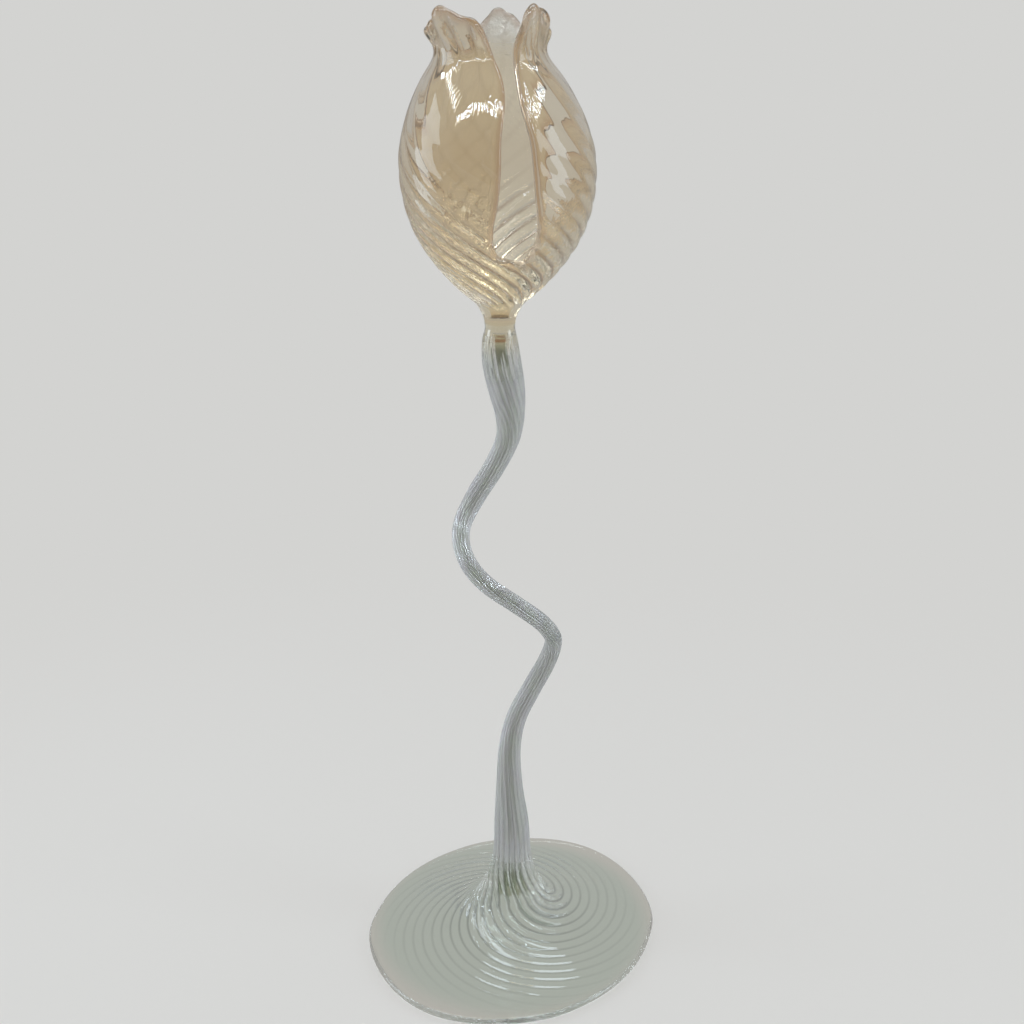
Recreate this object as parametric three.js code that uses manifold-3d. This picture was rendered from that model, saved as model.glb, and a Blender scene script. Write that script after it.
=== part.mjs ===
// A blown glass flower, 403 mm tall: a clear spun foot, a hollow corkscrew stem drawn out of it,
// a small solid neck bit, and an amber blossom sheared into three petals.
// Units are millimetres and +Z is up. The origin is under the middle of the foot, and the front
// of the flower, where the deepest slit between the petals is, looks along -Y.
import * as THREE from "three";
import { mergeVertices } from "three/addons/utils/BufferGeometryUtils.js";
import Module from "manifold-3d";

const wasm = await Module();
wasm.setup();

// Driving dimensions

// Optic ribs: the mould gives the gather this many, and every later twist carries them along.
const ribCount = 20;
const ribShare = 0.09; // crest to groove depth on the stem, as a share of its radius

// Foot
const footHeight = 50; // where the flare has drawn in to the stem
const footRadius = 64.8; // mean radius of the rim
const footOval = 3.3; // how far the spun rim runs out of round
const footOvalAzimuth = 53; // degrees, where the rim reaches out farthest
const rimWave = 0.5; // shallow waves left in the rim by the jacks
const rimThickness = 3.3;
const rimRoll = 3.4; // from the edge of the rim in to the flat ring that rests on the table
const landWidth = 5; // of that flat ring
const footSwirl = 215; // degrees that a rib turns from the flare to the rim
const footRibDepth = 0.9; // on the disc, fading towards the rim
// Upper outline of the foot: share of the way out from stem to rim, share of the height
const flareOutline = [
  [0, 1],
  [0.007, 0.86],
  [0.026, 0.71],
  [0.058, 0.56],
  [0.107, 0.41],
  [0.17, 0.29],
  [0.254, 0.2],
  [0.359, 0.141],
  [0.49, 0.1],
  [0.638, 0.069],
  [0.78, 0.041],
  [0.9, 0.017],
  [0.972, 0],
];
// Hollow under the foot: share of the way out from bore to flat ring, share of the height
const hollowOutline = [
  [0, 1],
  [0.006, 0.83],
  [0.022, 0.66],
  [0.06, 0.5],
  [0.122, 0.36],
  [0.22, 0.245],
  [0.35, 0.16],
  [0.505, 0.104],
  [0.69, 0.063],
  [0.87, 0.026],
  [1, 0],
];

// Stem, as stations above the foot: centre x, y, height, radius, and turn of the ribs in degrees
const stemStations = [
  [0, 0, 0, 7.5, 0],
  [-0.3, 0.3, 9, 7.1, -3],
  [-1.1, 2.2, 24, 5.6, -12],
  [-1.0, 7.0, 40, 4.6, -32],
  [1.8, 11.2, 53, 4.2, -52],
  [8.2, 12.0, 67, 4.0, -72],
  [14.4, 7.8, 82, 3.8, -92],
  [17.2, 2.0, 94, 3.5, -108],
  [16.4, -3.6, 102, 3.4, -120],
  [11.2, -9.0, 111, 3.4, -134],
  [1.2, -12.4, 120.4, 3.4, -150],
  [-9.6, -12.3, 128.4, 3.4, -166],
  [-16.8, -8.0, 135, 3.4, -180],
  [-20.5, -1.6, 142, 3.4, -193],
  [-20.0, 4.8, 149, 3.6, -206],
  [-14.4, 10.4, 159, 4.0, -224],
  [-7.2, 12.0, 170.5, 4.2, -244],
  [-1.8, 10.4, 183, 4.6, -268],
  [-0.8, 7.4, 194, 5.6, -300],
  [-2.0, 3.8, 206, 6.9, -336],
  [-3.8, 1.2, 217, 7.3, -358],
  [-4.6, 0, 226, 7.0, -370],
  [-4.6, 0, 230.5, 6.2, -374],
];
const boreShare = 0.34; // radius of the bore, as a share of the stem's

// Neck bit, the dab of hot glass between stem and flower
const neckHeight = 4.5;
const neckWaist = 5.8;
const neckTopRadius = 6;

// Blossom, with every height measured up from its flat base
const floorThickness = 3;
const wallAtNeck = 3.2;
const wallAtTip = 2.2;
const blossomTwist = 230; // degrees that a rib turns from the neck to the tips
const twistEase = 2; // 1 turns it evenly, and more brings the turn closer to the neck
const blossomRibDepth = 0.9;
const blossomLean = 5.2; // how far the tips lean to the left of the neck
// Outline of the closed bubble: radius and height
const bubbleOutline = [
  [neckTopRadius, 0],
  [6.6, 3],
  [8.8, 7],
  [12.8, 11.2],
  [18.6, 17],
  [25.2, 24.8],
  [30.9, 34],
  [34.8, 44.5],
  [36.4, 56],
  [35.7, 67],
  [32.0, 79],
  [26.4, 90],
  [21.4, 97],
  [19.8, 101],
  [21.2, 104.6],
  [23.3, 109],
  [24.2, 114],
  [24.6, 118.4],
];
// Sheared edge round the mouth: azimuth in degrees and height
const mouthEdge = [
  [-176, 108],
  [-158, 110],
  [-149, 111.8],
  [-140, 116],
  [-128, 118.4],
  [-118, 116.2],
  [-107, 115.2],
  [-97, 111.4],
  [-77, 109.4],
  [-60, 111.6],
  [-51, 115.6],
  [-41, 118.4],
  [-33, 116.6],
  [-24, 113],
  [-12, 107.5],
  [16, 104],
  [43, 104.5],
  [58, 108.3],
  [68, 111],
  [78, 113.2],
  [89, 110.4],
  [100, 103.4],
  [118, 101.4],
  [140, 102.8],
  [163, 105],
];
// Slits between the petals: azimuth in degrees and height of the rounded bottom
const slits = [
  [-77, 28.5],
  [43, 33],
  [163, 31],
];
// Half width of a slit, and height above its bottom
const slitOutline = [
  [0, 0],
  [3.4, 0.9],
  [6.0, 4],
  [7.6, 9],
  [7.9, 15],
  [7.0, 24],
  [6.4, 38],
  [5.9, 46],
  [4.6, 52],
  [3.4, 57.5],
  [3.0, 64],
  [3.1, 71],
  [4.2, 77],
  [6.7, 83],
  [8.6, 92],
];

// Fineness of the surfaces
const columns = 2 * ribCount; // one column on each crest and one in each groove
const boreColumns = 8;
const stemRings = 58;
const blossomRows = 27;

// Values that follow from the sizes above
const { degToRad, smoothstep, clamp, euclideanModulo, radToDeg } = THREE.MathUtils;
const stemBottom = stemStations[0];
const stemTop = stemStations[stemStations.length - 1];
const neckBase = footHeight + stemTop[2];
const blossomBase = neckBase + neckHeight;
const blossomHeight = bubbleOutline[bubbleOutline.length - 1][1];
const landOuter = footRadius - rimRoll;
const landInner = landOuter - landWidth;

// Shared shape helpers

// A smooth line through stations of any number of values.
function smoothLine(stations) {
  const last = stations.length - 1;
  return (t) => {
    const at = clamp(t, 0, 1) * last;
    const i = Math.min(Math.floor(at), last - 1);
    const u = at - i;
    const before = stations[Math.max(i - 1, 0)];
    const after = stations[Math.min(i + 2, last)];
    return stations[i].map((here, k) => {
      const next = stations[i + 1][k];
      const slopeHere = (next - before[k]) / 2;
      const slopeNext = (after[k] - here) / 2;
      const a = 2 * here - 2 * next + slopeHere + slopeNext;
      const b = 3 * (next - here) - 2 * slopeHere - slopeNext;
      return ((a * u + b) * u + slopeHere) * u + here;
    });
  };
}

// One ring of points; place(angle, crest) gives each, where crest is +1 or -1 by turns.
function ring(count, turn, place) {
  const points = [];
  for (let i = 0; i < count; i++) {
    const crest = i % 2 === 0 ? 1 : -1;
    points.push(place((2 * Math.PI * i) / count + turn, crest));
  }
  return points;
}

// The faces between two neighbouring rings, each quad split along its shorter diagonal.
function bridge(vertices, lower, upper, faces) {
  const at = (ringOf, i) => ringOf.start + (i % ringOf.count);
  const span = (i, j) => {
    const a = vertices[at(lower, i)];
    const b = vertices[at(upper, j)];
    return Math.hypot(a[0] - b[0], a[1] - b[1], a[2] - b[2]);
  };
  const lead = 1 / Math.min(lower.count, upper.count) + 1e-9;
  let i = 0;
  let j = 0;
  while (i < lower.count || j < upper.count) {
    const ahead = (i + 1) / lower.count - j / upper.count;
    const behind = (j + 1) / upper.count - i / lower.count;
    const lowerNext = i < lower.count && ahead <= lead;
    const upperNext = j < upper.count && behind <= lead;
    if (lowerNext && (!upperNext || span(i + 1, j) <= span(i, j + 1))) {
      faces.push(at(lower, i), at(lower, i + 1), at(upper, j));
      i += 1;
    } else {
      faces.push(at(lower, i), at(upper, j + 1), at(upper, j));
      j += 1;
    }
  }
}

// The closed skin over a run of rings, which closes on itself or is capped at each end.
function skin(rings, capped) {
  const vertices = rings.flat();
  const faces = [];
  let start = 0;
  const parts = rings.map((points) => {
    const part = { start, count: points.length };
    start += points.length;
    return part;
  });
  const joins = capped ? parts.length - 1 : parts.length;
  for (let k = 0; k < joins; k++) {
    bridge(vertices, parts[k], parts[(k + 1) % parts.length], faces);
  }
  const cap = (part, facesDown) => {
    const centre = new THREE.Vector3();
    const middle = vertices.length;
    for (let j = 0; j < part.count; j++) {
      const a = part.start + j;
      const b = part.start + ((j + 1) % part.count);
      centre.add(new THREE.Vector3(...vertices[a]));
      faces.push(middle, facesDown ? b : a, facesDown ? a : b);
    }
    vertices.push(centre.divideScalar(part.count).toArray());
  };
  if (capped) {
    cap(parts[0], true);
    cap(parts[parts.length - 1], false);
  }
  const geometry = new THREE.BufferGeometry();
  const positions = new THREE.Float32BufferAttribute(vertices.flat(), 3);
  geometry.setAttribute("position", positions);
  geometry.setIndex(faces);
  geometry.computeVertexNormals();
  return geometry;
}

function toSolid(geometry) {
  return new wasm.Manifold(
    new wasm.Mesh({
      numProp: 3,
      vertProperties: new Float32Array(geometry.attributes.position.array),
      triVerts: new Uint32Array(geometry.index.array),
    }),
  );
}

function toGeometry(solid) {
  const mesh = solid.getMesh();
  const geometry = new THREE.BufferGeometry();
  const positions = new THREE.BufferAttribute(mesh.vertProperties, 3);
  geometry.setAttribute("position", positions);
  geometry.setIndex(new THREE.BufferAttribute(mesh.triVerts, 1));
  geometry.computeVertexNormals();
  return geometry;
}

function glass(name, geometry, color, roughness) {
  const material = new THREE.MeshStandardMaterial({ color, roughness, metalness: 0 });
  const mesh = new THREE.Mesh(geometry, material);
  mesh.name = name;
  return mesh;
}

// Foot: the stem opens into a flare, and the flare is spun out into a thin disc with
// swirling ribs. It is hollow underneath and stands on a flat ring inside its rim.
function makeFoot() {
  const boreRadius = stemBottom[3] * boreShare;
  const flareEnd = 14; // radius at which the flare has turned into the disc
  const between = (outline, inner, outer, low) =>
    outline.map(([out, up]) => [inner + (outer - inner) * out, low + (footHeight - low) * up]);
  const top = [
    ...between(flareOutline, stemBottom[3], footRadius, rimThickness),
    [footRadius, rimThickness * 0.55],
    [footRadius - rimRoll * 0.4, rimThickness * 0.12],
  ];
  const under = between(hollowOutline, boreRadius, landInner, 0);
  const topLine = smoothLine(top);
  const topRows = 2 * (top.length - 1);

  // Only the spun part runs out of round.
  const place = (radius, height) => (angle) => {
    const oval = footOval * Math.cos(2 * (angle - degToRad(footOvalAzimuth)));
    const wave = rimWave * Math.cos(6 * angle);
    const r = radius + (oval + wave) * smoothstep(radius, 25, footRadius);
    return [r * Math.cos(angle), r * Math.sin(angle), height];
  };
  const turnAt = (radius) => {
    const onFlare = smoothstep(radius, stemBottom[3], flareEnd);
    const onDisc = clamp((radius - flareEnd) / (landOuter - flareEnd), 0, 1);
    return degToRad(footSwirl) * (0.1 * onFlare + 0.9 * onDisc);
  };
  const depthAt = (radius) => {
    const start = ribShare * stemBottom[3];
    const onFlare = smoothstep(radius, stemBottom[3], flareEnd);
    const onRim = smoothstep(radius, landInner - 12, footRadius - 1.5);
    return (start + (footRibDepth - start) * onFlare) * (1 - onRim);
  };

  const rings = [];
  for (let i = 0; i <= topRows; i++) {
    const [radius, height] = topLine(i / topRows);
    const pastRim = i > topRows - 4;
    const turn = turnAt(pastRim ? landOuter : radius);
    const depth = pastRim ? 0 : depthAt(radius);
    // On the flare the ribs stand out sideways, and on the disc they stand up.
    const upright = smoothstep(radius, 9, 26);
    rings.push(
      ring(columns, turn, (angle, crest) => {
        const out = (crest * depth) / 2;
        return place(radius + out * (1 - upright), height + out * upright)(angle);
      }),
    );
  }
  const onTable = [landOuter, 0];
  [onTable, ...under.reverse()].forEach(([radius, height]) => {
    const wide = radius > 8;
    const turn = wide ? turnAt(landOuter) : 0;
    rings.push(ring(wide ? columns : boreColumns, turn, place(radius, height)));
  });
  return skin(rings.reverse(), false);
}

// Stem: a hollow drawn tube bent into one open turn of a corkscrew. Its rings stand square to
// the path, and both end faces lie level so that they meet the foot and the neck bit flat.
function makeStem() {
  const line = smoothLine(stemStations);
  const outer = [];
  const bore = [];
  for (let i = 0; i <= stemRings; i++) {
    const t = i / stemRings;
    const [x, y, z, radius, turn] = line(t);
    const level = i === 0 || i === stemRings;
    const ahead = line(Math.min(1, t + 0.004));
    const behind = line(Math.max(0, t - 0.004));
    const tangent = new THREE.Vector3(
      ahead[0] - behind[0],
      ahead[1] - behind[1],
      ahead[2] - behind[2],
    ).normalize();
    if (level) tangent.set(0, 0, 1);
    const across = new THREE.Vector3(1, 0, 0);
    across.addScaledVector(tangent, -across.dot(tangent)).normalize();
    const deep = new THREE.Vector3().crossVectors(tangent, across);
    const centre = new THREE.Vector3(x, y, footHeight + z);
    const place = (r, angle) =>
      centre
        .clone()
        .addScaledVector(across, r * Math.cos(angle))
        .addScaledVector(deep, r * Math.sin(angle))
        .toArray();
    const ribs = (ribShare * radius) / 2;
    outer.push(
      ring(columns, degToRad(turn), (angle, crest) =>
        place(radius + crest * ribs, angle),
      ),
    );
    bore.push(ring(boreColumns, 0, (angle) => place(radius * boreShare, angle)));
  }
  return skin([...outer, ...bore.reverse()], false);
}

// Neck bit: solid, so it ends the bore of the stem and carries the floor of the blossom.
function makeNeck() {
  const radii = [stemTop[3], neckWaist, neckTopRadius];
  const rings = radii.map((radius, i) => {
    const height = neckBase + (neckHeight * i) / (radii.length - 1);
    return ring(columns, degToRad(stemTop[4]), (angle, crest) => {
      const r = radius * (1 + (crest * ribShare) / 2);
      return [stemTop[0] + r * Math.cos(angle), stemTop[1] + r * Math.sin(angle), height];
    });
  });
  return skin(rings, true);
}

// Blossom: a ribbed bubble, opened at the top and sheared into petals by three slits
function leanAt(height) {
  return -blossomLean * Math.pow(Math.max(0, height / blossomHeight), 3);
}

// Height of the sheared edge at an azimuth, smoothly through the stations and round again
function edgeHeight(angle) {
  const degrees = euclideanModulo(radToDeg(angle) + 180, 360) - 180;
  const count = mouthEdge.length;
  const station = (k) => {
    const turns = Math.floor(k / count);
    const [azimuth, height] = mouthEdge[k - turns * count];
    return [azimuth + 360 * turns, height];
  };
  let k = count - 1;
  while (station(k)[0] > degrees) k -= 1;
  const from = station(k);
  const to = station(k + 1);
  const u = (degrees - from[0]) / (to[0] - from[0]);
  const line = smoothLine([station(k - 1), from, to, station(k + 2)]);
  return Math.min(blossomHeight, line((1 + u) / 3)[1]);
}

function makeBubble() {
  const line = smoothLine(bubbleOutline);
  // Share of the outline at which it reaches a height
  const reach = (height) => {
    let low = 0;
    let high = 1;
    for (let i = 0; i < 40; i++) {
      const middle = (low + high) / 2;
      if (line(middle)[1] < height) low = middle;
      else high = middle;
    }
    return low;
  };
  const turnAt = (height) => {
    const left = Math.max(0, 1 - Math.max(0, height) / blossomHeight);
    return degToRad(stemTop[4]) - degToRad(blossomTwist) * (1 - Math.pow(left, twistEase));
  };
  // A point of the wall, set in from the outer outline square to it
  const wallPoint = (share, column, ribDepth, inset) => {
    const [radius, height] = line(share);
    const ahead = line(share + 0.002);
    const behind = line(share - 0.002);
    const slope = new THREE.Vector2(ahead[0] - behind[0], ahead[1] - behind[1]).normalize();
    const crest = column % 2 === 0 ? 1 : -1;
    const angle = (2 * Math.PI * column) / columns + turnAt(height);
    const out = (crest * ribDepth) / 2 - inset;
    const r = radius + out * slope.y;
    const z = height - out * slope.x;
    return [
      stemTop[0] + leanAt(z) + r * Math.cos(angle),
      stemTop[1] + r * Math.sin(angle),
      blossomBase + z,
    ];
  };
  const depthAt = (radius) => {
    const start = ribShare * neckTopRadius;
    return start + (blossomRibDepth - start) * smoothstep(radius, neckTopRadius, 20);
  };
  const outer = [];
  const inner = [];
  const floorShare = reach(floorThickness);
  const shoulder = 0.62;
  for (let i = 0; i <= blossomRows; i++) {
    const share = i / blossomRows;
    const wall = wallAtNeck + (wallAtTip - wallAtNeck) * share;
    const outside = [];
    const inside = [];
    for (let j = 0; j < columns; j++) {
      const end = reach(edgeHeight((2 * Math.PI * j) / columns + turnAt(blossomHeight)));
      // Rows lie level up to the shoulder, and above it they close up towards the edge.
      const above = Math.max(0, share - shoulder) / (1 - shoulder);
      const outShare = Math.min(share, shoulder) + (end - shoulder) * above;
      const inShare = floorShare + (outShare * (end - floorShare)) / end;
      outside.push(wallPoint(outShare, j, depthAt(line(outShare)[0]), 0));
      inside.push(wallPoint(inShare, j, 0.3 * depthAt(line(inShare)[0]), wall));
      if (i === 0) {
        outside[j][2] = blossomBase;
        inside[j][2] = blossomBase + floorThickness;
      }
    }
    outer.push(outside);
    inner.push(inside);
  }
  return skin([...outer, ...inner.reverse()], true);
}

// A prism that stands over one slit and reaches from near the axis out through the wall
function slitCutter(azimuth, bottom) {
  const side = smoothLine(slitOutline);
  const steps = 28;
  const edge = [];
  for (let i = 1; i <= steps; i++) edge.push(side(i / steps));
  const shape = new THREE.Shape();
  shape.moveTo(0, 0);
  edge.forEach(([x, y]) => shape.lineTo(x, y));
  edge.reverse().forEach(([x, y]) => shape.lineTo(-x, y));
  const prism = new THREE.ExtrudeGeometry(shape, { depth: 50, bevelEnabled: false });
  prism.deleteAttribute("normal");
  prism.deleteAttribute("uv");
  const turn = degToRad(azimuth);
  const outwards = new THREE.Vector3(Math.cos(turn), Math.sin(turn), 0);
  const up = new THREE.Vector3(0, 0, 1);
  const along = new THREE.Vector3().crossVectors(up, outwards);
  prism.applyMatrix4(new THREE.Matrix4().makeBasis(along, up, outwards));
  const start = outwards.clone().multiplyScalar(5);
  prism.translate(stemTop[0] + leanAt(75) + start.x, stemTop[1] + start.y, blossomBase + bottom);
  return toSolid(mergeVertices(prism, 1e-4));
}

function makeBlossom() {
  const bubble = toSolid(makeBubble());
  const cutters = slits.map(([azimuth, bottom]) => slitCutter(azimuth, bottom));
  return toGeometry(cutters.reduce((solid, cutter) => solid.subtract(cutter), bubble));
}

const flower = new THREE.Group();
flower.name = "glass_flower";
flower.add(glass("foot", makeFoot(), "#b9c4ba", 0.03));
flower.add(glass("stem", makeStem(), "#c4ccc6", 0.03));
flower.add(glass("neck_bit", makeNeck(), "#cfc4a8", 0.03));
flower.add(glass("blossom", makeBlossom(), "#d2a566", 0.04));

export default flower;
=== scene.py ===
# %% [markdown]
# # A blown glass flower
# The flower is four pieces of glass that were joined hot: a spun foot, a corkscrew stem, a small
# neck bit and an amber blossom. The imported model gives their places. Each is modelled again here
# in finer detail, because glass shows every facet twice: once in its shine and once in what is
# seen through it.

# %% Load the frame
from math import asin, atan2, cos, degrees, exp, floor, hypot, pi, radians, sin

import bmesh
import bpy
from mathutils import Matrix, Vector


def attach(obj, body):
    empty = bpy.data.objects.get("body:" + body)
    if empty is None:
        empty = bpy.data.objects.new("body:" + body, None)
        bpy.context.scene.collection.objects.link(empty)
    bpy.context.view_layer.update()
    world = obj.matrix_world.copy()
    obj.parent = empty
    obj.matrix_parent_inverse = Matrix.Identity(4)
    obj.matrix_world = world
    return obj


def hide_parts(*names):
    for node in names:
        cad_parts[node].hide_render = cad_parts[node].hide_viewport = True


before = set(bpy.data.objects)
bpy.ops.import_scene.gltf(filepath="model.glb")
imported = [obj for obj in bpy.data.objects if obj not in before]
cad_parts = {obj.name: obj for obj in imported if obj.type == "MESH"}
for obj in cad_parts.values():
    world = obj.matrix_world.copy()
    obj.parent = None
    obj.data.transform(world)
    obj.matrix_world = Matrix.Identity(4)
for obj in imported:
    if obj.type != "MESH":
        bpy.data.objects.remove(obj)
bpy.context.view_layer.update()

# %% [markdown]
# The camera stands where the photograph was taken: in front of the flower, higher than its tips,
# and tilted down at it. It comes first, so that every later step can be looked at through it.

# %% Camera
mm = 0.001
camera_back = 578.5 * mm
camera_height = 453.5 * mm
camera_tilt = radians(66.8)
bpy.ops.object.camera_add(location=(0, -camera_back, camera_height), rotation=(camera_tilt, 0, 0))
camera = bpy.context.object
camera.name = "camera"
camera.data.sensor_width = 36
camera.data.lens = 54.84
camera.data.clip_start = 0.01
camera.data.clip_end = 50
bpy.context.scene.camera = camera
print("camera at", tuple(camera.location))

# %% [markdown]
# All the glass came out of one optic mould, which gave the gather 20 ribs. The sizes are in
# millimetres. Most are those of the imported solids. The ribs are deeper here and the sheared edge is
# more ragged, because this finer mesh can show it. Outlines and paths are stations on a smooth line.

# %% Sizes
rib_count = 20
rib_share = 0.09
neck_rib_share = 0.02
foot_height = 50
foot_radius = 64.8
foot_oval = 3.3
foot_oval_azimuth = 53
rim_wave = 0.5
rim_thickness = 3.3
rim_roll = 3.4
land_width = 5
foot_swirl = radians(215)
foot_rib_depth = 1.2
land_outer = foot_radius - rim_roll
land_inner = land_outer - land_width
flare_outline = [
    (0, 1), (0.007, 0.86), (0.026, 0.71), (0.058, 0.56), (0.107, 0.41), (0.17, 0.29),
    (0.254, 0.2), (0.359, 0.141), (0.49, 0.1), (0.638, 0.069), (0.78, 0.041), (0.9, 0.017),
    (0.972, 0),
]
hollow_outline = [
    (0, 1), (0.006, 0.83), (0.022, 0.66), (0.06, 0.5), (0.122, 0.36), (0.22, 0.245),
    (0.35, 0.16), (0.505, 0.104), (0.69, 0.063), (0.87, 0.026), (1, 0),
]
stem_stations = [
    (0, 0, 0, 7.5, 0), (-0.3, 0.3, 9, 7.1, -3), (-1.1, 2.2, 24, 5.6, -12),
    (-1.0, 7.0, 40, 4.6, -32), (1.8, 11.2, 53, 4.2, -52), (8.2, 12.0, 67, 4.0, -72),
    (14.4, 7.8, 82, 3.8, -92), (17.2, 2.0, 94, 3.5, -108), (16.4, -3.6, 102, 3.4, -120),
    (11.2, -9.0, 111, 3.4, -134), (1.2, -12.4, 120.4, 3.4, -150), (-9.6, -12.3, 128.4, 3.4, -166),
    (-16.8, -8.0, 135, 3.4, -180), (-20.5, -1.6, 142, 3.4, -193), (-20.0, 4.8, 149, 3.6, -206),
    (-14.4, 10.4, 159, 4.0, -224), (-7.2, 12.0, 170.5, 4.2, -244), (-1.8, 10.4, 183, 4.6, -268),
    (-0.8, 7.4, 194, 5.6, -300), (-2.0, 3.8, 206, 6.9, -336), (-3.8, 1.2, 217, 7.3, -358),
    (-4.6, 0, 226, 7.0, -370), (-4.6, 0, 230.5, 6.2, -374),
]
bore_share = 0.34
neck_height = 4.5
neck_waist = 5.8
neck_top_radius = 6
stem_x, stem_y, stem_height, stem_top_radius, stem_turn = stem_stations[-1]
neck_base = foot_height + stem_height
blossom_base = neck_base + neck_height
blossom_height = 118.4
blossom_twist = radians(230)
blossom_rib_depth = 1.2
blossom_lean = 5.2
bubble_outline = [
    (neck_top_radius, 0), (6.6, 3), (8.8, 7), (12.8, 11.2), (18.6, 17), (25.2, 24.8), (30.9, 34),
    (34.8, 44.5), (36.4, 56), (35.7, 67), (32.0, 79), (26.4, 90), (21.4, 97), (19.8, 101),
    (21.2, 104.6), (23.3, 109), (24.2, 114), (24.6, 118.4),
]
mouth_edge = [
    (-176, 108), (-158, 110), (-149, 111.8), (-140, 116), (-130, 118.4), (-123, 116),
    (-117, 113.7), (-109, 114.7), (-103, 112.6), (-97, 108.2), (-77, 108.6), (-60, 111.6),
    (-51, 115.6), (-41, 118.4), (-33, 116.6), (-24, 113), (-12, 107.5), (16, 104), (43, 104.5),
    (58, 108.3), (68, 111), (78, 113.2), (89, 110.4), (100, 103.4), (118, 101.4), (140, 102.8),
    (163, 105),
]
slits = [(-77, 28.5), (43, 33), (163, 31)]
slit_outline = [
    (0, 0), (3.4, 0.9), (6.0, 4), (7.6, 9), (7.9, 15), (7.0, 24), (6.4, 38), (5.9, 46),
    (4.6, 52), (3.4, 57.5), (3.0, 64), (3.1, 71), (4.2, 77), (6.7, 83), (8.6, 92),
]


def smooth_line(stations):
    """A smooth line through stations of any number of values, for a share from 0 to 1."""
    last = len(stations) - 1

    def at(share):
        place = min(max(share, 0), 1) * last
        i = min(int(place), last - 1)
        u = place - i
        before, after = stations[max(i - 1, 0)], stations[min(i + 2, last)]
        point = []
        for k, here in enumerate(stations[i]):
            there = stations[i + 1][k]
            slope_here, slope_there = (there - before[k]) / 2, (after[k] - here) / 2
            a = 2 * here - 2 * there + slope_here + slope_there
            b = 3 * (there - here) - 2 * slope_here - slope_there
            point.append(((a * u + b) * u + slope_here) * u + here)
        return point

    return at


def spread(trail, lengths, count):
    """Points at equal distances along a trail, given the length up to each of its points."""
    points, k = [], 0
    for i in range(count + 1):
        goal = lengths[-1] * i / count
        while k < len(lengths) - 2 and lengths[k + 1] < goal:
            k += 1
        u = (goal - lengths[k]) / max(lengths[k + 1] - lengths[k], 1e-9)
        points.append([a + (b - a) * u for a, b in zip(trail[k], trail[k + 1])])
    return points


def lengths_along(trail):
    """The length of a trail of (radius, height) up to each of its points."""
    lengths = [0]
    for (r0, z0), (r1, z1) in zip(trail, trail[1:]):
        lengths.append(lengths[-1] + hypot(r1 - r0, z1 - z0))
    return lengths


def even_points(line, count, fine=600):
    """Points on a line of (radius, height) at equal distances along it."""
    trail = [line(i / fine) for i in range(fine + 1)]
    return spread(trail, lengths_along(trail), count)


def share_where(line, part, value, halvings):
    """Share of a line at which one part of its points, which rises all along, gets to a value."""
    low, high = 0, 1
    for _ in range(halvings):
        middle = (low + high) / 2
        low, high = (middle, high) if line(middle)[part] < value else (low, middle)
    return low


def ease(value, low, high):
    """0 below low, 1 above high, and a smooth rise between."""
    u = min(max((value - low) / (high - low), 0), 1)
    return u * u * (3 - 2 * u)


def left_after(value, share, low, high):
    """1 below low, and smoothly less by a share above high."""
    return 1 - share * ease(value, low, high)


print("flower height", blossom_base + blossom_height, "mm")

# %% [markdown]
# Blown and spun glass is all rings round a centre line. So each piece starts as a circle
# primitive, and the ring is extruded, scaled, turned and moved on, again and again, as the
# glassblower draws, opens and spins it. The helpers below start a ring, pull the next one out of
# the last, turn it, and pick faces, edges or vertices by their place. A value that is marked on a
# ring is inherited by the rings pulled from it, so that the last one still knows its ribs.

# %% Rings
def start_ring(name, count, radius, centre):
    """Edit mode on a new circle of glass, with its first vertex on +X from the centre."""
    bpy.ops.object.select_all(action="DESELECT")
    bpy.ops.mesh.primitive_circle_add(vertices=count, radius=radius * mm, fill_type="NOTHING")
    piece = bpy.context.object
    piece.name = piece.data.name = name
    bpy.ops.object.mode_set(mode="EDIT")
    bpy.ops.mesh.select_all(action="SELECT")
    bpy.ops.transform.translate(value=Vector(centre) * mm)
    first = piece.data.vertices[0].co.copy()
    turn_ring(-atan2(first.y, first.x), (0, 0, 1), centre)
    return piece


def turn_ring(angle, axis, middle):
    """Turn the selection by the right-hand rule about an axis through a point."""
    to_axis = Vector(axis).to_track_quat("Z", "Y").to_matrix()
    bpy.ops.transform.rotate(
        value=-angle, orient_axis="Z", orient_matrix=to_axis, center_override=Vector(middle) * mm
    )


def pull_ring(move, grow, middle):
    """Extrude the selected ring by move, then scale it about its new middle."""
    bpy.ops.mesh.extrude_region_move(TRANSFORM_OT_translate={"value": Vector(move) * mm})
    bpy.ops.transform.resize(value=grow, center_override=Vector(middle) * mm)


def flatten(level):
    """Bring the selection flat onto a level."""
    bpy.ops.transform.resize(value=(1, 1, 0), center_override=(0, 0, level * mm))


def pick(piece, kind, chosen):
    """Select only the verts, edges or faces for which chosen(element) is true, in edit mode."""
    bpy.ops.mesh.select_mode(type={"verts": "VERT", "edges": "EDGE", "faces": "FACE"}[kind])
    bpy.ops.mesh.select_all(action="DESELECT")
    mesh = bmesh.from_edit_mesh(piece.data)
    found = [element for element in getattr(mesh, kind) if chosen(element)]
    for element in found:
        element.select_set(True)
    bmesh.update_edit_mesh(piece.data)
    return len(found)


def all_at(height):
    """Tells whether an edge or a face lies level at a height."""
    return lambda element: all(abs(v.co.z / mm - height) < 0.02 for v in element.verts)


def rib_wave(angle):
    """1 on the round crest of a rib and -1 in the narrow groove beside it."""
    return 1 - 2 * (0.5 - 0.5 * cos(angle)) ** 2


def groove_at(wave):
    """1 in the bottom of a groove and 0 on the rest of a rib."""
    return ease(-wave, 0, 0.95)


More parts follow.
